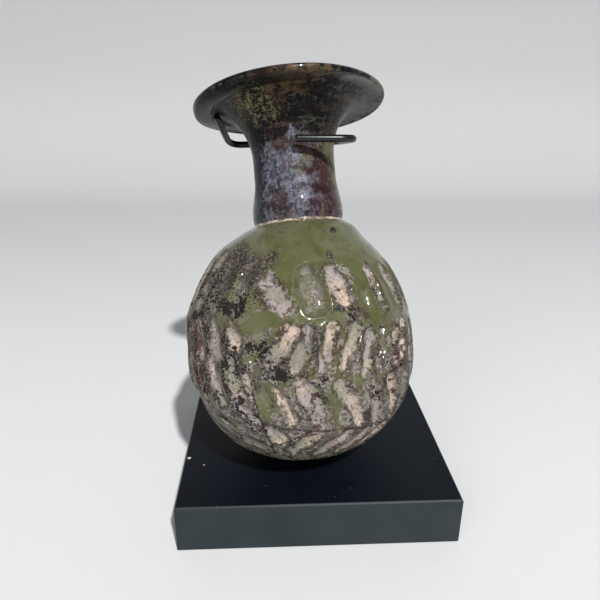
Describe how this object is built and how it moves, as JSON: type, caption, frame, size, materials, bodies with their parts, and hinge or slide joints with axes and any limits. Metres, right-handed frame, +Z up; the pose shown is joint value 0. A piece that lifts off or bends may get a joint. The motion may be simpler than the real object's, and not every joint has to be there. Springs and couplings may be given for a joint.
{
  "type": "mould-blown glass bottle on a display stand",
  "caption": "Ancient globular mould-blown glass bottle with herringbone hollows, cylindrical neck and wide flared mouth, leaning back in a wire cradle on a square block.",
  "frame": {"origin": "centre of the block's underside", "axes": "+Z up, the bottle's front at -Y, +X to the viewer's right"},
  "size_m": [0.076, 0.0827, 0.1215],
  "materials": {
    "weathered_glass": "olive green glass under mottled iridescent and earthy weathering",
    "black_wire": "satin black paint",
    "black_block": "satin black with fine dust"
  },
  "bodies": {
    "root": {"glass_bottle": "weathered_glass", "wire_cradle": "black_wire", "display_block": "black_block"}
  },
  "joints": []
}
